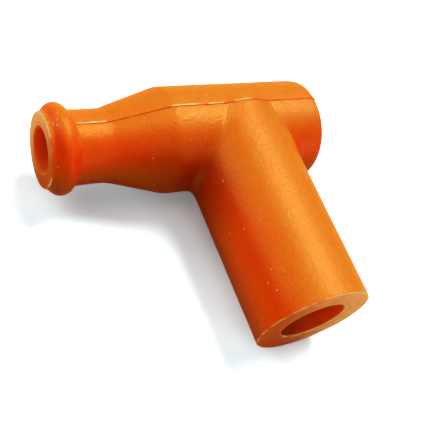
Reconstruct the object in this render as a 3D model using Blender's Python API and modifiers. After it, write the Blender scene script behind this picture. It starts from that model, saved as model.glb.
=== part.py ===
"""A right-angle spark plug cap: one moulding of orange silicone rubber, with nothing fitted inside it.

The ignition lead goes in at the beaded mouth of the arm, and the plug at the open end of the barrel.
The arm's axis runs along X and the barrel's along Y, and the cap lies on its side as on a bench.
The mould parts in the plane that holds the arm's axis and is square to the barrel. It leaves a line of
flash along both sides of the arm.
Everything is in metres, and reaches are measured from where the two axes cross.
"""

import math

import bmesh
import bpy
from mathutils import Vector

# Barrel, which slides over the plug
BARREL_RADIUS = 0.0094
BARREL_MOUTH_RADIUS = 0.00925
BARREL_REACH = 0.0356
PLUG_BORE_RADIUS = 0.0052
PLUG_BORE_DEPTH = 0.0240

# Arm, which takes the lead
BODY_RADIUS = 0.0087
STUB_REACH = 0.0142
CONE_END_REACH = 0.0134
CONE_LENGTH = 0.0098
NECK_RADIUS = 0.0058
CABLE_REACH = 0.0327
LIP_RADIUS = 0.0059
BEAD_RADIUS = 0.0071
BEAD_ROUND = 0.0016
BEAD_SETBACK = 0.0024
CABLE_BORE_RADIUS = 0.0034

# Chamber behind the plug's bore, which the lead's bore runs into and which takes the lead's terminal
CHAMBER_RADIUS = 0.0044
CHAMBER_TAPER = 0.0015
BORE_CORNER = 0.0008
ROOF_WALL = 0.0042
STUB_WALL = 0.0086

# Rounded edges
STUB_ROUND = 0.0022
MOUTH_ROUND = 0.0005
BORE_CHAMFER = 0.0003
CONE_ROUND_ROOF = 0.0008
CONE_ROUND_UNDER = 0.0024

# Fillet between barrel and arm, which is narrow at the parting line and widest in the crook
FILLET_AT_PARTING = 0.0006
FILLET_CABLE_SIDE = 0.0034
FILLET_STUB_SIDE = 0.0018

# Flash
FLASH_HEIGHT = 0.0002
FLASH_HALF_WIDTH = 0.00015

# Facets
QUARTER = 6
BEAD_STEPS = 5
BORE_STEPS = 48
CUT_MARGIN = 0.002

SILICONE = (0.80, 0.16, 0.012, 1.0)

RIGHT_ANGLE = math.pi / 2
PITCH = RIGHT_ANGLE / QUARTER


def clear_scene():
    for thing in list(bpy.data.objects):
        bpy.data.objects.remove(thing, do_unlink=True)


def collection(name):
    made = bpy.data.collections.new(name)
    bpy.context.scene.collection.children.link(made)
    return made


def silicone():
    """Half-gloss orange silicone, a little translucent."""
    material = bpy.data.materials.new("orange_silicone")
    material.use_nodes = True
    shader = material.node_tree.nodes["Principled BSDF"]
    shader.inputs["Base Color"].default_value = SILICONE
    shader.inputs["Metallic"].default_value = 0.0
    shader.inputs["Roughness"].default_value = 0.42
    shader.inputs["Subsurface Weight"].default_value = 0.4
    shader.inputs["Subsurface Scale"].default_value = 0.002
    return material


def swell(before, after):
    """How far out a cage line stands, so that subdivision brings it back to the circle.

    before and after are the angles to the cage lines on either side.
    """
    return 3 / (2 + (math.cos(before) + math.cos(after)) / 2)


class ArmLine:
    """A lengthwise line of the arm's cage. turn is its angle round the arm, from the roof."""

    def __init__(self, turn, flash=0.0, parting=False):
        self.turn = turn
        self.flash = flash
        self.parting = parting
        self.grow = 1.0 if parting else swell(PITCH, PITCH)
        self.depth = max(-math.cos(turn), 0.0)

    def at(self, x, radius):
        rho = radius * self.grow + self.flash
        return Vector((x, rho * math.cos(self.turn), rho * math.sin(self.turn)))


def arm_lines():
    """Lines one pitch apart. At each parting line there are three: the flash's crest and its two feet."""
    foot = FLASH_HALF_WIDTH / BODY_RADIUS
    lines = []
    for step in range(4 * QUARTER):
        turn = step * PITCH
        if step in (QUARTER, 3 * QUARTER):
            lines.append(ArmLine(turn - foot, parting=True))
            lines.append(ArmLine(turn, flash=FLASH_HEIGHT, parting=True))
            lines.append(ArmLine(turn + foot, parting=True))
        else:
            lines.append(ArmLine(turn))
    return lines


def cable_end(line):
    """(x, radius) of one line from the cable mouth to the end of the cone."""
    mouth = -CABLE_REACH
    outline = [
        (mouth, LIP_RADIUS - MOUTH_ROUND),
        (mouth, LIP_RADIUS),
        (mouth + MOUTH_ROUND, LIP_RADIUS),
    ]
    bead = mouth + BEAD_SETBACK
    step = math.radians(35)
    reach = BEAD_ROUND * swell(step, step)
    for number in range(BEAD_STEPS):
        angle = (number - (BEAD_STEPS - 1) / 2) * step
        outline.append((bead + reach * math.sin(angle), BEAD_RADIUS - BEAD_ROUND + reach * math.cos(angle)))
    cone_end = -CONE_END_REACH
    cone_start = cone_end - CONE_LENGTH
    slope = (BODY_RADIUS - NECK_RADIUS) / CONE_LENGTH
    soft = CONE_ROUND_ROOF + (CONE_ROUND_UNDER - CONE_ROUND_ROOF) * line.depth
    outline += [
        (bead + BEAD_ROUND + MOUTH_ROUND, NECK_RADIUS),
        (cone_start - soft, NECK_RADIUS),
        (cone_start, NECK_RADIUS),
        (cone_start + soft, NECK_RADIUS + soft * slope),
        (cone_end - soft, BODY_RADIUS - soft * slope),
        (cone_end, BODY_RADIUS),
        (cone_end + CONE_ROUND_ROOF, BODY_RADIUS),
    ]
    return [line.at(x, radius) for x, radius in outline]


def stub_round():
    """The stub's rounding, which stops half way to the barrel."""
    return min(STUB_ROUND, (STUB_REACH - BARREL_RADIUS) / 2)


def stub_end(line):
    outline = [
        (STUB_REACH - stub_round(), BODY_RADIUS),
        (STUB_REACH, BODY_RADIUS),
        (STUB_REACH, BODY_RADIUS - stub_round()),
    ]
    return [line.at(x, radius) for x, radius in outline]


def shoulder_angle():
    """The angle round the barrel, from its top, at which it comes down to the height of the arm."""
    return math.acos(min(BODY_RADIUS / BARREL_RADIUS, math.cos(PITCH / 2)))


def barrel_angles():
    """The barrel's cage lines, from the one before its top. None but the top lies over the shoulders."""
    shoulder = shoulder_angle()
    step = (RIGHT_ANGLE - shoulder) / (QUARTER - 1)
    quarter = [shoulder + number * step for number in range(QUARTER)]
    half = quarter + [math.pi - angle for angle in reversed(quarter[:-1])]
    other_half = [2 * math.pi - angle for angle in reversed(half)]
    return [-shoulder, 0, *half, math.pi, *other_half[:-1]]


def barrel_swells(angles):
    count = len(angles)
    steps = [(angles[(i + 1) % count] - angles[i]) % (2 * math.pi) for i in range(count)]
    return [swell(steps[i - 1], steps[i]) for i in range(count)]


def barrel_radius(reach):
    """The barrel tapers a little from the arm's axis to its mouth."""
    return BARREL_RADIUS + (BARREL_MOUTH_RADIUS - BARREL_RADIUS) * reach / BARREL_REACH


def fillet(full, angle):
    """The fillet's width at an angle round the barrel."""
    return FILLET_AT_PARTING + (full - FILLET_AT_PARTING) * math.sin(angle) ** 2


class Crossing:
    """The arm's lines where they pass the barrel. Those under the parting lines stop at its rim."""

    def __init__(self, lines):
        self.lines = lines
        self.angles = barrel_angles()
        self.swells = barrel_swells(self.angles)
        under = [k for k, line in enumerate(lines) if not line.parting and line.depth > 1e-6]
        self.first = under[0]
        self.last = under[-1]

    def rim_point(self, k, number):
        """Where line k meets the barrel's cage line of that number."""
        line = self.lines[k]
        reach = BARREL_RADIUS * self.swells[number]
        x = reach * math.sin(self.angles[number])
        z = reach * math.cos(self.angles[number])
        arm = BODY_RADIUS * line.grow
        shallowest = arm * math.sin(PITCH)
        depth = math.sqrt(max(arm**2 - z**2, shallowest**2))
        return Vector((x, -depth, z))

    def stations(self, k):
        """A line's five points: before the barrel, at its two sides with its middle between, and after it."""
        line = self.lines[k]
        if self.first <= k <= self.last:
            number = 2 + k - self.first
            right = self.rim_point(k, number)
            left = Vector((-right.x, right.y, right.z))
            middle = self.rim_point(k, 1 if k < (self.first + self.last) / 2 else len(self.angles) // 2 + 1)
            angle = self.angles[number]
        else:
            angle = shoulder_angle()
            side = BARREL_RADIUS * math.sin(angle)
            left = line.at(-side, BODY_RADIUS)
            right = line.at(side, BODY_RADIUS)
            middle = line.at(0, BODY_RADIUS)
            if line.parting:
                crown = (3 * BARREL_RADIUS - BODY_RADIUS) / 2
                middle = line.at(0, crown)
        cone_side = -CONE_END_REACH + CONE_ROUND_ROOF
        stub_side = STUB_REACH - stub_round()
        before = max(left.x - fillet(FILLET_CABLE_SIDE, angle), (left.x + cone_side) / 2)
        after = min(right.x + fillet(FILLET_STUB_SIDE, angle), (right.x + stub_side) / 2)
        return [line.at(before, BODY_RADIUS), left, middle, right, line.at(after, BODY_RADIUS)]


def build_cage(mesh):
    """The closed outer skin: a turned arm, with a hole in its underside from which the barrel grows."""
    lines = arm_lines()
    crossing = Crossing(lines)
    courses = [cable_end(line) + crossing.stations(k) + stub_end(line) for k, line in enumerate(lines)]
    rows = len(courses[0])
    left = len(cable_end(lines[0])) + 1
    middle, right = left + 1, left + 2
    first, last = crossing.first, crossing.last

    bm = bmesh.new()
    crease = bm.edges.layers.float.new("crease_edge")
    grid = [
        [None if row == middle and first < k < last else bm.verts.new(courses[k][row]) for k in range(len(lines))]
        for row in range(rows)
    ]
    for row in range(rows - 1):
        for k in range(len(lines)):
            in_hole = left <= row < right and first <= k < last
            if not in_hole:
                beside = (k + 1) % len(lines)
                bm.faces.new((grid[row][k], grid[row][beside], grid[row + 1][beside], grid[row + 1][k]))
    bm.faces.new(reversed(grid[0]))
    bm.faces.new(grid[-1])

    for k, line in enumerate(lines):
        if line.parting:
            for row in range(rows - 1):
                edge = bm.edges.get((grid[row][k], grid[row + 1][k]))
                edge[crease] = 1.0
                edge.smooth = False

    rim = [grid[left][first], grid[middle][first], *grid[right][first : last + 1]]
    rim += [grid[middle][last], *reversed(grid[left][first + 1 : last + 1])]
    grow_barrel(bm, rim, crossing)
    bmesh.ops.recalc_face_normals(bm, faces=bm.faces[:])
    bm.to_mesh(mesh)
    bm.free()


def grow_barrel(bm, rim, crossing):
    """Rings of faces from the rim of the arm's hole to the plug mouth, which is left solid."""
    fillet_end = []
    for vert, angle in zip(rim, crossing.angles):
        full = FILLET_CABLE_SIDE if vert.co.x < 0 else FILLET_STUB_SIDE
        fillet_end.append(vert.co.y - fillet(full, angle))
    straight = min(fillet_end) - FILLET_AT_PARTING
    rings = [(0, fillet_end)]
    rings += [(0, [y] * len(rim)) for y in (straight, -BARREL_REACH + MOUTH_ROUND, -BARREL_REACH)]
    rings.append((MOUTH_ROUND, [-BARREL_REACH] * len(rim)))
    upper = rim
    for inset, heights in rings:
        lower = []
        for y, angle, grow in zip(heights, crossing.angles, crossing.swells):
            reach = (barrel_radius(-y) - inset) * grow
            lower.append(bm.verts.new((reach * math.sin(angle), y, reach * math.cos(angle))))
        for k in range(len(rim)):
            beside = (k + 1) % len(rim)
            bm.faces.new((upper[k], upper[beside], lower[beside], lower[k]))
        upper = lower
    bm.faces.new(upper)


def turned_cutter(name, mouth, radius, wall, end, home):
    """A bore's cutter, turned about Z from its chamfered mouth at the top down to its blind end.

    wall holds the (radius, z) points of its side, and the last of them gives the blind end's radius.
    """
    blind = wall[-1][0]
    profile = [
        (0, mouth + CUT_MARGIN),
        (radius + BORE_CHAMFER + CUT_MARGIN, mouth + CUT_MARGIN),
        (radius, mouth - BORE_CHAMFER),
        *wall,
        (blind, end + BORE_CORNER),
        (blind - BORE_CORNER, end),
        (0, end),
    ]
    mesh = bpy.data.meshes.new(name)
    edges = [(k, k + 1) for k in range(len(profile) - 1)]
    # A half step of turn keeps the bore's edges off the lines of the cage, which they would almost meet.
    half_step = math.pi / BORE_STEPS
    spots = [(r * math.cos(half_step), r * math.sin(half_step), z) for r, z in profile]
    mesh.from_pydata(spots, edges, [])
    cutter = bpy.data.objects.new(name, mesh)
    home.objects.link(cutter)
    turn = cutter.modifiers.new("turn", "SCREW")
    turn.steps = turn.render_steps = BORE_STEPS
    turn.use_merge_vertices = True
    turn.merge_threshold = 1e-6
    cutter.hide_render = True
    cutter.display_type = "WIRE"
    return cutter


def plug_bore(home):
    shoulder = BARREL_REACH - PLUG_BORE_DEPTH
    wall = [(PLUG_BORE_RADIUS, shoulder), (CHAMBER_RADIUS, shoulder - CHAMBER_TAPER)]
    end = ROOF_WALL - BODY_RADIUS
    cutter = turned_cutter("plug_bore", BARREL_REACH, PLUG_BORE_RADIUS, wall, end, home)
    cutter.rotation_euler = (RIGHT_ANGLE, 0, 0)
    return cutter


def cable_bore(home):
    wall = [(CABLE_BORE_RADIUS, 0)]
    end = STUB_WALL - STUB_REACH
    cutter = turned_cutter("cable_bore", CABLE_REACH, CABLE_BORE_RADIUS, wall, end, home)
    cutter.rotation_euler = (0, -RIGHT_ANGLE, 0)
    return cutter


def boot(home, cutters):
    mesh = bpy.data.meshes.new("boot")
    build_cage(mesh)
    mesh.materials.append(silicone())
    mesh.shade_smooth()
    made = bpy.data.objects.new("boot", mesh)
    home.objects.link(made)
    skin = made.modifiers.new("skin", "SUBSURF")
    skin.levels = skin.render_levels = 1
    for cutter in cutters:
        cut = made.modifiers.new(cutter.name, "BOOLEAN")
        cut.operation = "DIFFERENCE"
        cut.solver = "EXACT"
        cut.object = cutter
    return made


def main():
    clear_scene()
    parts = collection("spark_plug_cap")
    tools = collection("cutters")
    cutters = [plug_bore(tools), cable_bore(tools)]
    made = boot(parts, cutters)
    # The origin is under the middle of the cap, on the surface that it lies on.
    crossing = Vector(
        (
            (CABLE_REACH - STUB_REACH) / 2,
            (BARREL_REACH - BODY_RADIUS) / 2,
            BARREL_RADIUS + FLASH_HEIGHT,
        )
    )
    for thing in (made, *cutters):
        thing.location = crossing


main()
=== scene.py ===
"""The looks of a right-angle spark plug cap: one moulding of orange silicone rubber on white paper.

Everything is in metres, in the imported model's frame. The arm's axis runs along X, the barrel's along Y.
"""

import math

import bmesh
import bpy
from mathutils import Matrix, Vector, noise


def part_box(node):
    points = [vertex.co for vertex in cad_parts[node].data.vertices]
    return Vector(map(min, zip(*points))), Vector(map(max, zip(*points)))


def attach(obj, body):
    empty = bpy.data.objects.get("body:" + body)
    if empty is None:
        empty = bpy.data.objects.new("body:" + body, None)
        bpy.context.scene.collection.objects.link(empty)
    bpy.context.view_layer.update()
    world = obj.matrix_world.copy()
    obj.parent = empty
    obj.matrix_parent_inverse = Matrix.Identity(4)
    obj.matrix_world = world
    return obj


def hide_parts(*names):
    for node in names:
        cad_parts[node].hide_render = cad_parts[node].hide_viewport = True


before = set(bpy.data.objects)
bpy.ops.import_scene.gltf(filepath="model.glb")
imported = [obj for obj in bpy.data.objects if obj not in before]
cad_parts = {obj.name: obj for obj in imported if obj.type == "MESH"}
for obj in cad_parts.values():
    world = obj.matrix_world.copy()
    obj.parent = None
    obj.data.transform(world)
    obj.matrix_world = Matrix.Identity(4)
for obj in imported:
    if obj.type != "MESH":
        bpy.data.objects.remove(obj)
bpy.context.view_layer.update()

LOW, HIGH = (Vector(corner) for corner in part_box("boot"))
ALONG_ARM = Vector((1, 0, 0))
ALONG_BARREL = Vector((0, 1, 0))
RIGHT_ANGLE = math.pi / 2
MM = 0.001
TINY = 1e-6

# Sizes of the moulding
BARREL_RADIUS = 0.0094
BARREL_MOUTH_RADIUS = 0.00925
BODY_RADIUS = 0.0087
STUB_REACH = 0.0142
CONE_END_REACH = 0.0134
CONE_LENGTH = 0.0098
NECK_RADIUS = 0.0058
LIP_RADIUS = 0.0059
BEAD_RADIUS = 0.0071
BEAD_ROUND = 0.0016
BEAD_SETBACK = 0.0024
STUB_ROUND = 0.0022
MOUTH_ROUND = 0.0004
CONE_ROUND_ROOF = 0.0008
CONE_ROUND_UNDER = 0.0024
FILLET_AT_PARTING = 0.0005
FILLET_LEAD_SIDE = 0.0034
FILLET_STUB_SIDE = 0.0018

# Bores
PLUG_BORE_RADIUS = 0.0052
PLUG_BORE_DEPTH = 0.0240
LEAD_BORE_RADIUS = 0.0034
CHAMBER_RADIUS = 0.0044
CHAMBER_TAPER = 0.0015
BORE_CORNER = 0.0008
PLUG_BORE_CHAMFER = 0.0003
LEAD_BORE_CHAMFER = 0.0005
CHAMFER_TURNS = (75, 50, 25)
ROOF_WALL = 0.0042
STUB_WALL = 0.0086
CUT_MARGIN = 0.002
BORE_STEPS = 128

# Flash: a thin fin that the mould's joint leaves along both sides of the arm
FIN_HEIGHT = 0.00016
FIN_TOP = 0.00007
FIN_FOOT = 0.00013

# Where the fin stands higher and shines: from and to along the arm, and the added height, in mm
SHINY_FIN = (
    (-28.9, -23.6, 0.14),
    (-14.0, -8.4, 0.09),
    (-7.6, -4.4, 0.08),
    (-2.8, 0.6, 0.05),
)
FIN_SOFT = 0.3

# Unevenness of the moulded skin, and of the fin's crest
SWELL_HEIGHT = 0.00004
SWELL_PITCH = 0.006
RIPPLE_HEIGHT = 0.000008
RIPPLE_PITCH = 0.0011
RAGGED_HEIGHT = 0.00012
RAGGED_PITCH = 0.0012
RAGGED_ROW = 7.0

# Cage of the moulding: lines to a quarter turn, steps round the bead, and how it is smoothed
QUARTER = 6
PITCH = RIGHT_ANGLE / QUARTER
BEAD_STEPS = 5
BEAD_STEP = math.radians(35)
SKIN_LEVELS = 3
SHARP_ANGLE = math.radians(38)

# The first of the barrel's cage lines that meets one of the arm's, and how many rows carry the fin
RIM_START = 2
FIN_ROWS = 6

# How strongly the cage is creased: at the fin's edges, at its feet, and round the fillet's two ends
FIN_CREASE = 0.5
PARTING_CREASE = 1.0
FILLET_CREASE = (0.7, 0.7, 0.5, 0.3)

# Where the axes of arm and barrel cross, and how far each mouth is from there
CROSSING = Vector((HIGH.x - STUB_REACH, HIGH.y - BODY_RADIUS, (LOW.z + HIGH.z) / 2))
LEAD_REACH = CROSSING.x - LOW.x
BARREL_REACH = CROSSING.y - LOW.y


# Outer form of the moulding


def swell(before, after):
    """How far out a cage line stands, so that subdivision brings it back to the circle."""
    return 3 / (2 + (math.cos(before) + math.cos(after)) / 2)


class ArmLine:
    """A lengthwise line of the arm's cage. turn is its angle round the arm, from the roof."""

    def __init__(self, turn, fin=0.0, parting=False):
        self.turn = turn
        self.fin = fin
        self.parting = parting
        self.grow = 1.0 if parting else swell(PITCH, PITCH)
        self.depth = max(-math.cos(turn), 0.0)

    def at(self, x, radius, with_fin=True):
        rho = radius * self.grow + (self.fin if with_fin else 0.0)
        return Vector((x, rho * math.cos(self.turn), rho * math.sin(self.turn)))


def arm_lines():
    """Lines one pitch apart. At each parting line there are four: the fin's two feet and its two edges."""
    foot = FIN_FOOT / BODY_RADIUS
    top = FIN_TOP / BODY_RADIUS
    lines = []
    for step in range(4 * QUARTER):
        turn = step * PITCH
        if step in (QUARTER, 3 * QUARTER):
            lines.append(ArmLine(turn - foot, parting=True))
            lines.append(ArmLine(turn - top, fin=FIN_HEIGHT, parting=True))
            lines.append(ArmLine(turn + top, fin=FIN_HEIGHT, parting=True))
            lines.append(ArmLine(turn + foot, parting=True))
        else:
            lines.append(ArmLine(turn))
    return lines


def lead_end(line):
    """One line from the lead's mouth over the bead, neck and cone. The fin rises along the neck."""
    mouth = -LEAD_REACH
    outline = [
        (mouth, LIP_RADIUS - MOUTH_ROUND),
        (mouth, LIP_RADIUS),
        (mouth + MOUTH_ROUND, LIP_RADIUS),
    ]
    bead = mouth + BEAD_SETBACK
    reach = BEAD_ROUND * swell(BEAD_STEP, BEAD_STEP)
    for number in range(BEAD_STEPS):
        angle = (number - (BEAD_STEPS - 1) / 2) * BEAD_STEP
        outline.append((bead + reach * math.sin(angle), BEAD_RADIUS - BEAD_ROUND + reach * math.cos(angle)))
    cone_end = -CONE_END_REACH
    cone_start = cone_end - CONE_LENGTH
    slope = (BODY_RADIUS - NECK_RADIUS) / CONE_LENGTH
    soft = CONE_ROUND_ROOF + (CONE_ROUND_UNDER - CONE_ROUND_ROOF) * line.depth
    outline += [
        (bead + BEAD_ROUND + MOUTH_ROUND, NECK_RADIUS),
        (cone_start - soft, NECK_RADIUS),
        (cone_start, NECK_RADIUS),
        (cone_start + soft, NECK_RADIUS + soft * slope),
        (cone_end - soft, BODY_RADIUS - soft * slope),
        (cone_end, BODY_RADIUS),
        (cone_end + CONE_ROUND_ROOF, BODY_RADIUS),
    ]
    fin_start = len(outline) - FIN_ROWS
    return [line.at(x, radius, number >= fin_start) for number, (x, radius) in enumerate(outline)]


def stub_end(line):
    outline = [
        (STUB_REACH - STUB_ROUND, BODY_RADIUS),
        (STUB_REACH, BODY_RADIUS),
        (STUB_REACH, BODY_RADIUS - STUB_ROUND),
    ]
    return [line.at(x, radius) for x, radius in outline]


def shoulder_angle():
    """The angle round the barrel, from its top, at which it comes down to the height of the arm."""
    return math.acos(BODY_RADIUS / BARREL_RADIUS)


def barrel_angles():
    """The barrel's cage lines. The first three are its left shoulder, its top and its right shoulder."""
    shoulder = shoulder_angle()
    step = (RIGHT_ANGLE - shoulder) / (QUARTER - 1)
    quarter = [shoulder + number * step for number in range(QUARTER)]
    half = quarter + [math.pi - angle for angle in reversed(quarter[:-1])]
    other_half = [2 * math.pi - angle for angle in reversed(half)]
    return [-shoulder, 0, *half, math.pi, *other_half[:-1]]


def barrel_swells(angles):
    count = len(angles)
    steps = [(angles[(i + 1) % count] - angles[i]) % (2 * math.pi) for i in range(count)]
    return [swell(steps[i - 1], steps[i]) for i in range(count)]


def barrel_radius(reach):
    """The barrel tapers a little from the arm's axis to its mouth."""
    return BARREL_RADIUS + (BARREL_MOUTH_RADIUS - BARREL_RADIUS) * reach / BARREL_REACH


def fillet(full, angle):
    """The fillet is narrow at the parting line and widest in the crook."""
    return FILLET_AT_PARTING + (full - FILLET_AT_PARTING) * math.sin(angle) ** 2


class Crossing:
    """The arm's lines where they pass the barrel. Those under the parting lines stop at its rim."""

    def __init__(self, lines):
        self.lines = lines
        self.angles = barrel_angles()
        self.swells = barrel_swells(self.angles)
        under = [k for k, line in enumerate(lines) if not line.parting and line.depth > TINY]
        self.first = under[0]
        self.last = under[-1]

    def rim_point(self, k, number):
        """Where line k meets the barrel's cage line of that number."""
        reach = BARREL_RADIUS * self.swells[number]
        x = reach * math.sin(self.angles[number])
        z = reach * math.cos(self.angles[number])
        arm = BODY_RADIUS * self.lines[k].grow
        shallowest = arm * math.sin(PITCH)
        depth = math.sqrt(max(arm**2 - z**2, shallowest**2))
        return Vector((x, -depth, z))

    def stations(self, k):
        """A line's five points: before the barrel, at its left side, middle and right side, and after it."""
        line = self.lines[k]
        if self.first <= k <= self.last:
            number = RIM_START + k - self.first
            right = self.rim_point(k, number)
            left = Vector((-right.x, right.y, right.z))
            upper = k < (self.first + self.last) / 2
            middle = self.rim_point(k, 1 if upper else len(self.angles) // 2 + 1)
            angle = self.angles[number]
        else:
            angle = shoulder_angle()
            side = BARREL_RADIUS * math.sin(angle)
            crown = (3 * BARREL_RADIUS - BODY_RADIUS) / 2 if line.parting else BODY_RADIUS
            left = line.at(-side, BODY_RADIUS)
            right = line.at(side, BODY_RADIUS)
            middle = line.at(0, crown)
        cone_side = -CONE_END_REACH + CONE_ROUND_ROOF
        stub_side = STUB_REACH - STUB_ROUND
        before = max(left.x - fillet(FILLET_LEAD_SIDE, angle), (left.x + cone_side) / 2)
        after = min(right.x + fillet(FILLET_STUB_SIDE, angle), (right.x + stub_side) / 2)
        return [line.at(before, BODY_RADIUS), left, middle, right, line.at(after, BODY_RADIUS)]


def grow_barrel(cage, rim, crossing):
    """Rings of faces from the rim of the arm's hole to the plug's mouth, which is left solid."""
    fillet_end = []
    for vert, angle in zip(rim, crossing.angles):
        full = FILLET_LEAD_SIDE if vert.co.x < 0 else FILLET_STUB_SIDE
        fillet_end.append(vert.co.y - fillet(full, angle))
    straight = min(fillet_end) - FILLET_AT_PARTING
    rings = [(0, fillet_end)]
    rings += [(0, [y] * len(rim)) for y in (straight, -BARREL_REACH + MOUTH_ROUND, -BARREL_REACH)]
    rings.append((MOUTH_ROUND, [-BARREL_REACH] * len(rim)))
    upper = rim
    for inset, heights in rings:
        lower = []
        for y, angle, grow in zip(heights, crossing.angles, crossing.swells):
            reach = (barrel_radius(-y) - inset) * grow
            lower.append(cage.verts.new((reach * math.sin(angle), y, reach * math.cos(angle))))
        for k in range(len(rim)):
            beside = (k + 1) % len(rim)
            cage.faces.new((upper[k], upper[beside], lower[beside], lower[k]))
        upper = lower
    cage.faces.new(upper)


def moulding_cage():
    """The closed outer skin: a turned arm, with a hole in its underside from which the barrel grows."""
    lines = arm_lines()
    crossing = Crossing(lines)
    courses = [lead_end(line) + crossing.stations(k) + stub_end(line) for k, line in enumerate(lines)]
    rows = len(courses[0])
    left = len(lead_end(lines[0])) + 1
    middle, right = left + 1, left + 2
    first, last = crossing.first, crossing.last

    cage = bmesh.new()
    crease = cage.edges.layers.float.new("crease_edge")
    fin = cage.verts.layers.float.new("fin")
    grid = []
    for row in range(rows):
        course = []
        for k, line in enumerate(lines):
            if row == middle and first < k < last:
                course.append(None)
            else:
                vert = cage.verts.new(courses[k][row])
                vert[fin] = 1.0 if line.fin else 0.0
                course.append(vert)
        grid.append(course)
    for row in range(rows - 1):
        for k in range(len(lines)):
            in_hole = left <= row < right and first <= k < last
            if not in_hole:
                beside = (k + 1) % len(lines)
                cage.faces.new((grid[row][k], grid[row][beside], grid[row + 1][beside], grid[row + 1][k]))
    cage.faces.new(reversed(grid[0]))
    cage.faces.new(grid[-1])
    for k, line in enumerate(lines):
        if line.parting:
            for row in range(rows - 1):
                edge = cage.edges.get((grid[row][k], grid[row + 1][k]))
                edge[crease] = FIN_CREASE if line.fin else PARTING_CREASE
    for row in (left - 1, right + 1):
        for step, strength in enumerate(FILLET_CREASE):
            for k in (first - 1 + step, last - step):
                edge = cage.edges.get((grid[row][k], grid[row][k + 1]))
                edge[crease] = strength
    rim = [grid[left][first], grid[middle][first], *grid[right][first : last + 1]]
    rim += [grid[middle][last], *reversed(grid[left][first + 1 : last + 1])]
    grow_barrel(cage, rim, crossing)
    bmesh.ops.recalc_face_normals(cage, faces=cage.faces[:])
    mesh = bpy.data.meshes.new("cage")
    cage.to_mesh(mesh)
    cage.free()
    return mesh


def placed(name, data):
    thing = bpy.data.objects.new(name, data)
    bpy.context.scene.collection.objects.link(thing)
    return thing


def finished_mesh(thing, name):
    """The thing's mesh with its modifiers applied. The thing itself goes."""
    seen = thing.evaluated_get(bpy.context.evaluated_depsgraph_get())
    mesh = bpy.data.meshes.new_from_object(seen)
    mesh.name = name
    bpy.data.objects.remove(thing, do_unlink=True)
    return mesh


def within(along, start, end):
    """1 between start and end, falling softly to 0 at both."""
    return min(max((along - start) / FIN_SOFT, 0.0), max((end - along) / FIN_SOFT, 0.0), 1.0)


def make_uneven(mesh):
    """Moulded rubber is never quite true: slow swells, a fine ripple, and a ragged crest on the fin."""
    fins = [fin.value for fin in mesh.attributes["fin"].data]
    normals = [vert.normal.copy() for vert in mesh.vertices]
    shine = mesh.attributes.new("shiny_fin", "FLOAT", "POINT")
    for number, (vert, normal, fin) in enumerate(zip(mesh.vertices, normals, fins)):
        spot = vert.co
        move = SWELL_HEIGHT * noise.noise(spot / SWELL_PITCH)
        move += RIPPLE_HEIGHT * noise.noise(spot / RIPPLE_PITCH)
        move += fin * RAGGED_HEIGHT * noise.noise(Vector((spot.x / RAGGED_PITCH, RAGGED_ROW, 0.0)))
        along = spot.x / MM
        for start, end, height in SHINY_FIN:
            share = within(along, start, end)
            move += fin * share * height * MM
            shine.data[number].value += fin * share
        vert.co = spot + normal * move


def bore_cutter(name, mouth, radius, chamfer, wall, end, turn):
    """A bore's cutter, turned from its rounded mouth at the top down to its blind end."""
    blind = wall[-1][0]
    profile = [
        (0, mouth + CUT_MARGIN),
        (radius + chamfer, mouth + CUT_MARGIN),
        (radius + chamfer, mouth),
    ]
    for degrees in CHAMFER_TURNS:
        angle = math.radians(degrees)
        profile.append((
            radius + chamfer * (1 - math.cos(angle)),
            mouth - chamfer * (1 - math.sin(angle)),
        ))
    profile += [
        (radius, mouth - chamfer),
        *wall,
        (blind, end + BORE_CORNER),
        (blind - BORE_CORNER, end),
        (0, end),
    ]
    mesh = bpy.data.meshes.new(name)
    edges = [(k, k + 1) for k in range(len(profile) - 1)]
    half_step = math.pi / BORE_STEPS
    spots = [(r * math.cos(half_step), r * math.sin(half_step), z) for r, z in profile]
    mesh.from_pydata(spots, edges, [])
    cutter = placed(name, mesh)
    screw = cutter.modifiers.new("turn", "SCREW")
    screw.steps = screw.render_steps = BORE_STEPS
    screw.use_merge_vertices = True
    screw.merge_threshold = TINY
    cutter.rotation_euler = turn
    return cutter


def bores():
    shoulder = BARREL_REACH - PLUG_BORE_DEPTH
    plug_wall = [(PLUG_BORE_RADIUS, shoulder), (CHAMBER_RADIUS, shoulder - CHAMBER_TAPER)]
    plug = bore_cutter(
        "plug_bore", BARREL_REACH, PLUG_BORE_RADIUS, PLUG_BORE_CHAMFER,
        plug_wall, ROOF_WALL - BODY_RADIUS, (RIGHT_ANGLE, 0, 0),
    )
    lead = bore_cutter(
        "lead_bore", LEAD_REACH, LEAD_BORE_RADIUS, LEAD_BORE_CHAMFER,
        [(LEAD_BORE_RADIUS, 0)], STUB_WALL - STUB_REACH, (0, -RIGHT_ANGLE, 0),
    )
    return [plug, lead]


def moulding():
    skin = placed("skin", moulding_cage())
    smooth = skin.modifiers.new("smooth", "SUBSURF")
    smooth.levels = smooth.render_levels = SKIN_LEVELS
    mesh = finished_mesh(skin, "moulding")
    make_uneven(mesh)
    boot = placed("moulded_boot", mesh)
    cutters = bores()
    for cutter in cutters:
        cut = boot.modifiers.new(cutter.name, "BOOLEAN")
        cut.operation = "DIFFERENCE"
        cut.solver = "EXACT"
        cut.object = cutter
    mesh = finished_mesh(boot, "moulded_boot")
    for cutter in cutters:
        bpy.data.objects.remove(cutter, do_unlink=True)
    mesh.transform(Matrix.Translation(CROSSING))
    mesh.shade_smooth()
    mesh.set_sharp_from_angle(angle=SHARP_ANGLE)
    return placed("moulded_boot", mesh)


# Finishes


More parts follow.
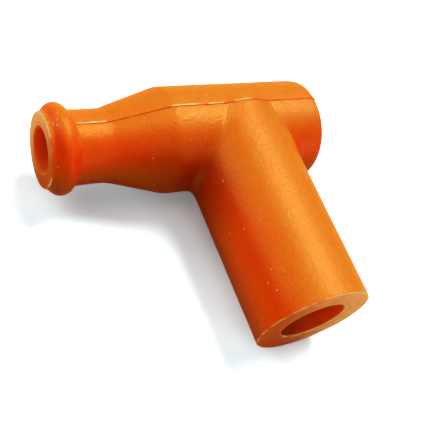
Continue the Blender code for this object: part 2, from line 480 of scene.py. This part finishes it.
class Wire:
    """What comes out of a node. Arithmetic with it adds Math nodes."""

    def __init__(self, finish, socket):
        self.finish = finish
        self.socket = socket

    def math(self, operation, first, second):
        return self.finish.add("ShaderNodeMath", {"operation": operation}, {0: first, 1: second})

    def __add__(self, other):
        return self.math("ADD", self, other)

    def __sub__(self, other):
        return self.math("SUBTRACT", self, other)

    def __rsub__(self, other):
        return self.math("SUBTRACT", other, self)

    def __mul__(self, other):
        return self.math("MULTIPLY", self, other)

    def __lt__(self, other):
        return self.math("LESS_THAN", self, other)

    def __gt__(self, other):
        return self.math("GREATER_THAN", self, other)

    __radd__ = __add__
    __rmul__ = __mul__


class Finish:
    """A material under construction."""

    def __init__(self, name):
        self.material = bpy.data.materials.new(name)
        self.material.use_nodes = True
        self.tree = self.material.node_tree
        self.shader = self.tree.nodes["Principled BSDF"]

    def put(self, socket, value):
        if isinstance(value, Wire):
            self.tree.links.new(value.socket, socket)
        else:
            socket.default_value = value

    def add(self, kind, settings=None, inputs=None, output=0):
        node = self.tree.nodes.new(kind)
        for name, value in (settings or {}).items():
            setattr(node, name, value)
        for key, value in (inputs or {}).items():
            self.put(node.inputs[key], value)
        return Wire(self, node.outputs[output])

    def surface(self, values):
        for name, value in values.items():
            self.put(self.shader.inputs[name], value)

    def place(self):
        return self.add("ShaderNodeTexCoord", output="Object")

    def painted(self, attribute):
        return self.add("ShaderNodeAttribute", {"attribute_name": attribute}, output="Fac")

    def vector(self, operation, first, second=(0, 0, 0), output=0):
        return self.add("ShaderNodeVectorMath", {"operation": operation}, {0: first, 1: second}, output)

    def dot(self, first, second):
        return self.vector("DOT_PRODUCT", first, second, output="Value")

    def axis(self, place, letter):
        return self.add("ShaderNodeSeparateXYZ", inputs={0: place}, output=letter)

    def cloud(self, place, pitch, detail=2.0):
        inputs = {"Vector": place, "Scale": 1 / pitch, "Detail": detail}
        return self.add("ShaderNodeTexNoise", inputs=inputs)

    def ease(self, value, start, end):
        """0 where value is at start, rising softly to 1 where it is at end."""
        inputs = {"Value": value, "From Min": start, "From Max": end}
        return self.add("ShaderNodeMapRange", {"interpolation_type": "SMOOTHSTEP"}, inputs)

    def mix(self, share, first, second):
        inputs = {0: share, 6: first, 7: second}
        return self.add("ShaderNodeMix", {"data_type": "RGBA"}, inputs, output=2)

    def relief(self, height, depth):
        inputs = {"Strength": 1.0, "Distance": depth, "Height": height}
        return self.add("ShaderNodeBump", inputs=inputs)


# Colours of the skin: painted shade on its underside, its sides, painted light on what faces the lamps,
# paler specks painted as glints in that light, a painted line of shade along the fin, and a painted
# highlight on the fin's shiny stretches
SKIN_SHADE = (0.37, 0.014, 0.0002, 1)
DEEP = (0.94, 0.050, 0.0003, 1)
PAINTED_LIT_SKIN = (0.82, 0.225, 0.009, 1)
GLINT = (1.0, 0.50, 0.14, 1)
FIN_SHADE_LINE = (0.95, 0.085, 0.001, 1)
FIN_HIGHLIGHT = (1.0, 0.62, 0.22, 1)

# Colours of the bores and the trimmed faces, with their painted light and painted shade and the painted
# highlights on the trimmed edges, and of the crumbs
BORE_LIT = (0.99, 0.13, 0.002, 1)
BORE_SHADE = (0.12, 0.010, 0.0005, 1)
SMUDGE = (0.90, 0.38, 0.18, 1)
TRIMMED_SHADE = (0.50, 0.036, 0.001, 1)
TRIMMED_LIT = (1.0, 0.50, 0.25, 1)
TRIMMED_EDGE_HIGHLIGHT = (1.0, 0.60, 0.32, 1)
CRUMB = (1.0, 0.47, 0.12, 1)

# Gloss of silicone
GLOSS_TINT = (0.92, 0.92, 0.11, 1)
SILICONE_IOR = 1.42

# The middle of a cloud's values
MIDDLE = 0.5

# Pitches of the skin's grain, orange peel, patches and painted glints
GRAIN_PITCH = 0.40 * MM
PEEL_PITCH = 1.3 * MM
PATCH_PITCH = 7 * MM
GLINT_PITCH = 0.35 * MM

# The skin's relief: its depth, the shares of grain and peel in it, and what is left of it where no light is
# painted
SKIN_DEPTH = 0.08 * MM
GRAIN_RELIEF = 1.2
PEEL_RELIEF = 0.5
BARE_RELIEF = 0.5

# The side from which light is painted onto the skin, how squarely a face has to look there, where the
# painted shade lies, and what shifts these
PAINTED_LIGHT_SIDE = (0.18, 0.35, 0.92)
PAINTED_LIGHT_RANGE = (0.34, 1.10)
SKIN_SHADE_RANGE = (-0.55, 0.25)
PATCH_SHARE = 0.2
GRAIN_SHARE = 0.2
# The painted light grows towards the stub end of the arm
STUBWARD_LIGHT_SHARE = 0.14
# Where the painted glints show and how strongly, and where the fin's painted line of shade begins
GLINT_RANGE = (0.58, 0.72)
GLINT_SHARE = 0.38
FIN_SHADE_RANGE = (0.0, 0.5)

# Where the inner corner between arm and barrel is deepest, and from where painted shade darkens its rubber
CROOK = CROSSING + Vector((-10.5, -9.5, -2.0)) * MM
CROOK_SHADE_RANGE = (15 * MM, 2 * MM)
CROOK_SHADE_SHARE = 0.8

# A faint painted highlight along the crease where the fillet leaves the arm: its ends, the way across it,
# and how it fades
CREASE_FROM = CROSSING + Vector((-4.2, -0.6, 8.7)) * MM
CREASE_TO = CROSSING + Vector((-6.9, -5.7, 6.8)) * MM
CREASE_ACROSS = (-0.882, 0.471, -0.008)
CREASE_WIDTH = 0.22 * MM
CREASE_START = 0.6 * MM
CREASE_FADE = 0.5
CREASE_FLOOR = (CROSSING.z + 2 * MM, CROSSING.z + 4 * MM)
CREASE_HIGHLIGHT_SHARE = 0.3


def from_axis(finish, place, along):
    """How far a place is from the axis of the arm or of the barrel."""
    keep = Vector((1, 1, 1)) - along
    across = finish.vector("MULTIPLY", finish.vector("SUBTRACT", place, CROSSING), keep)
    return finish.vector("LENGTH", across, output="Value")


def crease_highlight(finish, place):
    """Painted highlight: 1 along the crease, falling to 0 at its sides and ends. There is none on the
    underside.
    """
    run = CREASE_TO - CREASE_FROM
    from_start = finish.vector("SUBTRACT", place, CREASE_FROM)
    along = finish.dot(from_start, run.normalized())
    across = finish.dot(from_start, CREASE_ACROSS)
    mark = finish.ease(across, -CREASE_WIDTH, 0) * finish.ease(across, CREASE_WIDTH, 0)
    mark = mark * finish.ease(along, -CREASE_START, CREASE_START)
    mark = mark * finish.ease(along, run.length, CREASE_FADE * run.length)
    return mark * finish.ease(finish.axis(place, "Z"), *CREASE_FLOOR)


def silicone(name):
    """Half-gloss orange silicone, a little translucent, with painted light on what faces the lamps and
    painted shade on its underside and in the crook. Raised stretches of the fin are shiny and painted paler
    as a highlight; the rest of the fin is painted as a line of shade.
    """
    finish = Finish(name)
    place = finish.place()
    grain = finish.cloud(place, GRAIN_PITCH)
    peel = finish.cloud(place, PEEL_PITCH)
    patch = finish.cloud(place, PATCH_PITCH)

    # Painted light: faces turned towards the lamps' side get the paler lit colour
    facing_light = finish.dot(finish.add("ShaderNodeNewGeometry", output="Normal"), PAINTED_LIGHT_SIDE)
    toward_stub = finish.ease(finish.axis(place, "X"), LOW.x, CROSSING.x)
    facing = facing_light + (patch - MIDDLE) * PATCH_SHARE + (grain - MIDDLE) * GRAIN_SHARE + toward_stub * STUBWARD_LIGHT_SHARE
    painted_lit = finish.ease(facing, *PAINTED_LIGHT_RANGE)
    # Painted shade on faces turned away from the lamps
    skin = finish.mix(finish.ease(facing_light, *SKIN_SHADE_RANGE), SKIN_SHADE, DEEP)
    # Painted shade in the crook
    from_crook = finish.vector("DISTANCE", place, CROOK, output="Value")
    skin = finish.mix(finish.ease(from_crook, *CROOK_SHADE_RANGE) * CROOK_SHADE_SHARE, skin, SKIN_SHADE)

    # Paler specks painted only where the light is painted: painted glints
    glints = finish.ease(finish.cloud(place, GLINT_PITCH, 1.0), *GLINT_RANGE) * painted_lit * painted_lit * painted_lit
    painted_light = glints * GLINT_SHARE + crease_highlight(finish, place) * CREASE_HIGHLIGHT_SHARE
    colour = finish.mix(painted_light, finish.mix(painted_lit, skin, PAINTED_LIT_SKIN), GLINT)
    # The fin painted deep red: a painted line of shade along the parting line
    colour = finish.mix(finish.ease(finish.painted("fin"), *FIN_SHADE_RANGE), colour, FIN_SHADE_LINE)
    # Raised stretches of the fin are glossier and painted paler: a painted highlight
    shiny = finish.painted("shiny_fin")
    height = grain * GRAIN_RELIEF + peel * PEEL_RELIEF
    height = height * (painted_lit * (1 - BARE_RELIEF) + BARE_RELIEF)
    finish.surface({
        "Base Color": finish.mix(shiny, colour, FIN_HIGHLIGHT),
        "Roughness": 0.35 + (grain - MIDDLE) * 0.3 - shiny * 0.2,
        "Normal": finish.relief(height, SKIN_DEPTH),
        "Subsurface Weight": 1.0,
        "Subsurface Radius": (1.0, 0.22, 0.06),
        "Subsurface Scale": 0.0010,
        "IOR": SILICONE_IOR,
        "Specular IOR Level": 0.60,
        "Specular Tint": GLOSS_TINT,
    })
    return finish.material


# The bores' grain, and the daylight painted into their walls: across the plug's bore, and in the lead's bore
BORE_GRAIN_PITCH = 0.5 * MM
BORE_GRAIN_SHARE = 0.1
BORE_DEPTH = 0.03 * MM
DAYLIGHT_RANGE = (CROSSING.x - 6 * MM, CROSSING.x + 4 * MM)
DAYLIGHT_SHARE = 0.9
LEAD_BORE_END = CROSSING.x - 12 * MM
LEAD_BORE_LIGHT = 0.72

# A smudge at the lead's mouth: along the bore, across it, and how patchy it is
SMUDGE_ALONG = (LOW.x + 3.5 * MM, LOW.x + 0.5 * MM)
SMUDGE_ACROSS = (CROSSING.y - 1.0 * MM, CROSSING.y - 3.0 * MM)
SMUDGE_PITCH = 1.5 * MM
SMUDGE_RANGE = (0.35, 0.65)
SMUDGE_SHARE = 0.4


def bore_silicone(name):
    """The walls of the bores: deep red-orange, painted light where daylight comes through the rubber and
    painted shade deep inside.
    """
    finish = Finish(name)
    place = finish.place()
    grain = finish.cloud(place, BORE_GRAIN_PITCH)
    along = finish.axis(place, "X")
    # Painted light and painted shade along the bores
    lit = finish.ease(along, *DAYLIGHT_RANGE) * DAYLIGHT_SHARE
    lit = lit + (along < LEAD_BORE_END) * LEAD_BORE_LIGHT + grain * BORE_GRAIN_SHARE
    smudge = finish.ease(along, *SMUDGE_ALONG) * finish.ease(finish.axis(place, "Y"), *SMUDGE_ACROSS)
    smudge = smudge * finish.ease(finish.cloud(place, SMUDGE_PITCH, 3.0), *SMUDGE_RANGE)
    finish.surface({
        "Base Color": finish.mix(smudge * SMUDGE_SHARE, finish.mix(lit, BORE_SHADE, BORE_LIT), SMUDGE),
        "Roughness": 0.45 + grain * 0.2,
        "Normal": finish.relief(grain, BORE_DEPTH),
        "Subsurface Weight": 1.0,
        "Subsurface Radius": (1.0, 0.22, 0.03),
        "Subsurface Scale": 0.0045,
        "IOR": SILICONE_IOR,
        "Specular IOR Level": 0.4,
        "Specular Tint": GLOSS_TINT,
    })
    return finish.material


# Trimmed faces: their patches and grain, and how far the painted light reaches across them, in shares of the
# outer radius
TRIMMED_PATCH_PITCH = 2.2 * MM
TRIMMED_GRAIN_PITCH = 0.3 * MM
TRIMMED_DEPTH = 0.05 * MM
PALE_PATCHY = 0.8
PALE_START = -0.7
PALE_END = 0.9
LIT_SIDE_OF_PLUG = (0.92, 0, 0.40)
LIT_SIDE_OF_LEAD = (0, 0.95, 0.3)

# Painted highlights on a trimmed face's edges, measured in from its rim and out from its bore
RIM_HIGHLIGHT = (0.45 * MM, 0.20 * MM)
BORE_RIM_HIGHLIGHT = (0.40 * MM, 0.15 * MM)
EDGE_HIGHLIGHT_RANGE = (0.45, 0.75)
HIGHLIGHT_BY_LIGHT = 0.4

# The mark of a blade round the bore, painted dark as the shade in its groove: where it starts and ends
# outside the bore, and its soft sides
MARK_START = 0.66 * MM
MARK_END = 0.94 * MM
MARK_SOFT = 0.12 * MM
MARK_RANGE = (0.40, 0.60)
MARK_SHADE_SHARE = 0.7


def trimmed_silicone(name, along, toward, bore, outer):
    """A mouth's face, trimmed with a blade: matt, with painted light on one side and painted shade on the
    other, painted highlights at its two edges, and painted shade in the blade's mark.
    """
    finish = Finish(name)
    place = finish.place()
    patch = finish.cloud(place, TRIMMED_PATCH_PITCH, 3.0)
    grain = finish.cloud(place, TRIMMED_GRAIN_PITCH)
    reach = from_axis(finish, place, along)
    side = finish.dot(finish.vector("SUBTRACT", place, CROSSING), toward)
    uneven = (patch - MIDDLE) * outer * PALE_PATCHY
    # Painted light on one side of the face, painted shade on the other
    painted_light = finish.ease(side + uneven, PALE_START * outer, PALE_END * outer)
    # Painted highlights along the rim and the bore's edge
    edge = finish.ease(reach, *(outer - inset for inset in RIM_HIGHLIGHT))
    edge = edge + finish.ease(reach, *(bore + outset for outset in BORE_RIM_HIGHLIGHT))
    edge = edge * finish.ease(patch + painted_light * HIGHLIGHT_BY_LIGHT, *EDGE_HIGHLIGHT_RANGE)
    # The blade's mark, painted dark as shade in its groove
    mark = finish.ease(reach, bore + MARK_START, bore + MARK_START + MARK_SOFT)
    mark = mark * finish.ease(reach, bore + MARK_END, bore + MARK_END - MARK_SOFT)
    mark = mark * finish.ease(patch, *MARK_RANGE)
    colour = finish.mix(mark * MARK_SHADE_SHARE, finish.mix(painted_light, TRIMMED_SHADE, TRIMMED_LIT), TRIMMED_SHADE)
    finish.surface({
        "Base Color": finish.mix(edge, colour, TRIMMED_EDGE_HIGHLIGHT),
        "Roughness": 0.52 + (grain - MIDDLE) * 0.2 - edge * 0.2,
        "Normal": finish.relief(grain + patch - mark, TRIMMED_DEPTH),
        "Subsurface Weight": 1.0,
        "Subsurface Radius": (1.0, 0.30, 0.10),
        "Subsurface Scale": 0.007,
        "IOR": SILICONE_IOR,
        "Specular IOR Level": 0.7,
        "Specular Tint": GLOSS_TINT,
    })
    return finish.material


# Order of the finishes on the moulding, and which faces count as a bore's wall or a mouth's face
SKIN, BORE_WALL, PLUG_FACE, LEAD_FACE = range(4)
WALL_SLACK = 0.02 * MM
CHAMFER_SHARE = 0.8
FACING_OUT = -0.4


def dress_moulding(boot):
    """The skin's finish, and others for the bores and the trimmed faces. The skin's comes first."""
    boot.data.materials.clear()
    for finish in (
        silicone("orange_silicone"),
        bore_silicone("bore_silicone"),
        trimmed_silicone(
            "trimmed_plug_mouth", ALONG_BARREL, LIT_SIDE_OF_PLUG, PLUG_BORE_RADIUS, BARREL_MOUTH_RADIUS,
        ),
        trimmed_silicone(
            "trimmed_lead_mouth", ALONG_ARM, LIT_SIDE_OF_LEAD, LEAD_BORE_RADIUS, LIP_RADIUS,
        ),
    ):
        boot.data.materials.append(finish)
    plug_wall = PLUG_BORE_RADIUS + WALL_SLACK
    lead_wall = LEAD_BORE_RADIUS + CHAMFER_SHARE * LEAD_BORE_CHAMFER
    for face in boot.data.polygons:
        spot = face.center - CROSSING
        in_plug_bore = math.hypot(spot.x, spot.z) < plug_wall and spot.y < ROOF_WALL
        in_lead_bore = math.hypot(spot.y, spot.z) < lead_wall and spot.x < STUB_WALL
        if in_plug_bore or in_lead_bore:
            face.material_index = BORE_WALL
        elif face.normal.y < FACING_OUT and face.center.y < LOW.y + MOUTH_ROUND:
            face.material_index = PLUG_FACE
        elif face.normal.x < FACING_OUT and face.center.x < LOW.x + MOUTH_ROUND:
            face.material_index = LEAD_FACE
        else:
            face.material_index = SKIN


# The crumbs' grain, and where in it they turn from deep to pale
CRUMB_GRAIN_PITCH = 0.1 * MM
CRUMB_RANGE = (0.2, 0.5)


def crumb_rubber():
    """Torn flash and dusty grains, dry and paler than the moulding."""
    finish = Finish("crumb_rubber")
    grain = finish.cloud(finish.place(), CRUMB_GRAIN_PITCH)
    finish.surface({
        "Base Color": finish.mix(finish.ease(grain, *CRUMB_RANGE), DEEP, CRUMB),
        "Roughness": 0.35 + grain * 0.3,
        "Specular Tint": GLOSS_TINT,
        "Subsurface Weight": 0.5,
        "Subsurface Radius": (1.0, 0.4, 0.2),
        "Subsurface Scale": 0.0005,
    })
    return finish.material


# Paper: as the camera sees it, with painted shade under the arm, what it throws back at the cap, and its
# glow
PAPER_SHOWN = (1.63, 1.96, 2.00, 1)
PAPER_SHADE_UNDER_ARM = (1.00, 1.45, 1.50, 1)
PAPER_BOUNCE = (0.88, 0.57, 0.13, 1)
PAPER_GLOW = (0.162, 0.180, 0.180, 1)
NO_GLOW = (0, 0, 0, 1)
UNDER_ARM_ACROSS = (13 * MM, 10 * MM)
UNDER_ARM_ALONG = (CROSSING.x - 30 * MM, CROSSING.x - 24 * MM)


def paper():
    """White paper, brighter than white to the camera, as in an overexposed picture, and painted darker under
    the arm where the shade falls.
    """
    finish = Finish("white_paper")
    seen = finish.add("ShaderNodeLightPath", output="Is Camera Ray")
    place = finish.place()
    # Painted shade on the paper under the arm
    shade_under_arm = finish.ease(from_axis(finish, place, ALONG_ARM), *UNDER_ARM_ACROSS)
    shade_under_arm = shade_under_arm * finish.ease(finish.axis(place, "X"), *UNDER_ARM_ALONG)
    shown = finish.mix(shade_under_arm, PAPER_SHOWN, PAPER_SHADE_UNDER_ARM)
    finish.surface({
        "Base Color": finish.mix(seen, PAPER_BOUNCE, shown),
        "Specular IOR Level": 0.0,
        "Roughness": 1.0,
        "Emission Color": finish.mix(seen, NO_GLOW, PAPER_GLOW),
        "Emission Strength": 1.0,
    })
    return finish.material


# Crumbs of torn flash on the bead and grains on the skin: how far along (mm), the turn (degrees), length,
# width and height (mm). On the arm the turn is from the roof, on the barrel from its top.
ARM_CRUMBS = (
    (-30.9, 78, 0.36, 0.26, 0.10),
    (-30.7, 90, 0.50, 0.22, 0.12),
    (-31.3, 88, 0.30, 0.22, 0.10),
    (-31.5, 94, 0.34, 0.20, 0.10),
    (-31.9, 90, 0.60, 0.14, 0.06),
    (-30.1, 89, 0.40, 0.16, 0.08),
    (-32.0, 150, 0.40, 0.14, 0.07),
    (-32.5, 50, 0.24, 0.90, 0.08),
    (-32.4, 66, 0.26, 0.80, 0.10),
    (-32.5, 84, 0.24, 0.90, 0.08),
    (-17.7, 146, 0.26, 0.16, 0.07),
    (-16.4, 188, 0.22, 0.18, 0.07),
    (-11.9, 128, 0.24, 0.18, 0.07),
    (-12.1, 106, 0.70, 0.22, 0.06),
    (-10.9, 104, 0.60, 0.20, 0.06),
    (-10.1, 104, 0.90, 0.18, 0.06),
)
BARREL_CRUMBS = (
    (12.0, -59, 0.26, 0.22, 0.07),
    (19.9, -76, 0.24, 0.30, 0.08),
    (20.8, -42, 0.22, 0.26, 0.07),
    (20.7, -59, 0.24, 0.24, 0.07),
    (28.4, -51, 0.20, 0.24, 0.07),
    (29.3, -41, 0.22, 0.24, 0.07),
    (29.9, -59, 0.26, 0.30, 0.09),
    (31.5, -54, 0.26, 0.34, 0.09),
    (35.3, 3, 0.28, 0.50, 0.10),
    (35.3, 26, 0.24, 0.42, 0.08),
)

# How lumpy a crumb is, the pitch of its lumps, and the shift that makes the next crumb's differ
CRUMB_LUMPINESS = 0.35
CRUMB_PITCH = 0.7 * MM
CRUMB_SHIFT = 3.1


def add_crumb(cluster, boot, start, axis, size, number):
    """A rough little lump where a line from start to the axis first meets the skin."""
    met, spot, normal, _ = boot.ray_cast(start, (axis - start).normalized())
    if not met:
        return
    turn = normal.to_track_quat("Z", "X").to_matrix().to_4x4()
    length, width, height = size
    form = Matrix.Diagonal((width / 2, length / 2, height, 1))
    shift = Vector((number * CRUMB_SHIFT, 0, 0))
    lump = bmesh.ops.create_icosphere(cluster, subdivisions=2, radius=MM)["verts"]
    for vert in lump:
        lumpy = 1 + CRUMB_LUMPINESS * noise.noise(vert.co / CRUMB_PITCH + shift)
        vert.co = Matrix.Translation(spot) @ turn @ form @ (vert.co * lumpy)


def crumbs(boot):
    cluster = bmesh.new()
    for number, (along, turn, *size) in enumerate(ARM_CRUMBS):
        angle = math.radians(turn)
        axis = CROSSING + ALONG_ARM * along * MM
        start = axis + Vector((0, math.cos(angle), math.sin(angle))) * 2 * BODY_RADIUS
        add_crumb(cluster, boot, start, axis, size, number)
    for number, (along, turn, *size) in enumerate(BARREL_CRUMBS):
        angle = math.radians(turn)
        axis = CROSSING - ALONG_BARREL * along * MM
        start = axis + Vector((math.sin(angle), 0, math.cos(angle))) * 2 * BARREL_RADIUS
        add_crumb(cluster, boot, start, axis, size, number + len(ARM_CRUMBS))
    mesh = bpy.data.meshes.new("flash_crumbs")
    cluster.to_mesh(mesh)
    cluster.free()
    mesh.shade_smooth()
    return placed("flash_crumbs", mesh)


# Stage, light and camera

FLOOR_SIZE = 4
ROOM_LIGHT = 0.03
WHITE = (1, 1, 1, 1)

# The camera: its place from the crossing, the way it looks, what is up to it, and its lens (mm)
EYE = Vector((-61.76, -60.25, 84.53)) * MM
AHEAD = Vector((0.484, 0.412, -0.772))
UPWARD = Vector((0.128, 0.840, 0.528))
SENSOR_WIDTH = 36
LENS = 58.35
NEAREST = 0.001


def bench():
    bpy.ops.mesh.primitive_plane_add(size=FLOOR_SIZE)
    floor = bpy.context.object
    floor.name = "paper"
    floor.data.materials.append(paper())


def lamp(name, turn, height, strength, spread):
    """A soft lamp far off. turn is its bearing from +X towards +Y. White shows white at a strength of 1."""
    sun = bpy.data.lights.new(name, "SUN")
    sun.energy = math.pi * strength
    sun.angle = math.radians(spread)
    turn, height = math.radians(turn), math.radians(height)
    toward = Vector((math.cos(height) * math.cos(turn), math.cos(height) * math.sin(turn), math.sin(height)))
    placed(name, sun).rotation_euler = toward.to_track_quat("Z", "Y").to_euler()


def lamps():
    lamp("key", turn=34, height=61, strength=0.79, spread=32)
    lamp("side", turn=138, height=28, strength=0.29, spread=35)
    lamp("top", turn=180, height=66, strength=0.11, spread=40)
    lamp("front", turn=275, height=41, strength=0.11, spread=40)
    lamp("low", turn=302, height=9, strength=0.13, spread=30)


def room():
    """A dim room that the camera sees as white."""
    world = bpy.data.worlds.new("room")
    world.use_nodes = True
    tree = world.node_tree
    seen = tree.nodes.new("ShaderNodeLightPath").outputs["Is Camera Ray"]
    strength = tree.nodes.new("ShaderNodeMapRange")
    strength.inputs["To Min"].default_value = ROOM_LIGHT
    tree.links.new(seen, strength.inputs["Value"])
    background = tree.nodes["Background"]
    background.inputs["Color"].default_value = WHITE
    tree.links.new(strength.outputs["Result"], background.inputs["Strength"])
    bpy.context.scene.world = world


def camera():
    """Where the photograph was taken from, found from the outline of the cap."""
    data = bpy.data.cameras.new("camera")
    eye = placed("camera", data)
    ahead = AHEAD.normalized()
    right = ahead.cross(UPWARD).normalized()
    turn = Matrix((right, right.cross(ahead), -ahead)).transposed().to_4x4()
    eye.matrix_world = Matrix.Translation(CROSSING + EYE) @ turn
    data.sensor_width = SENSOR_WIDTH
    data.lens = LENS
    data.clip_start = NEAREST
    bpy.context.scene.camera = eye


boot = moulding()
dress_moulding(boot)
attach(boot, "root")
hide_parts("boot")

loose = crumbs(boot)
loose.data.materials.append(crumb_rubber())
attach(loose, "root")

bench()
lamps()
room()
camera()
bpy.context.scene.view_settings.view_transform = "Standard"
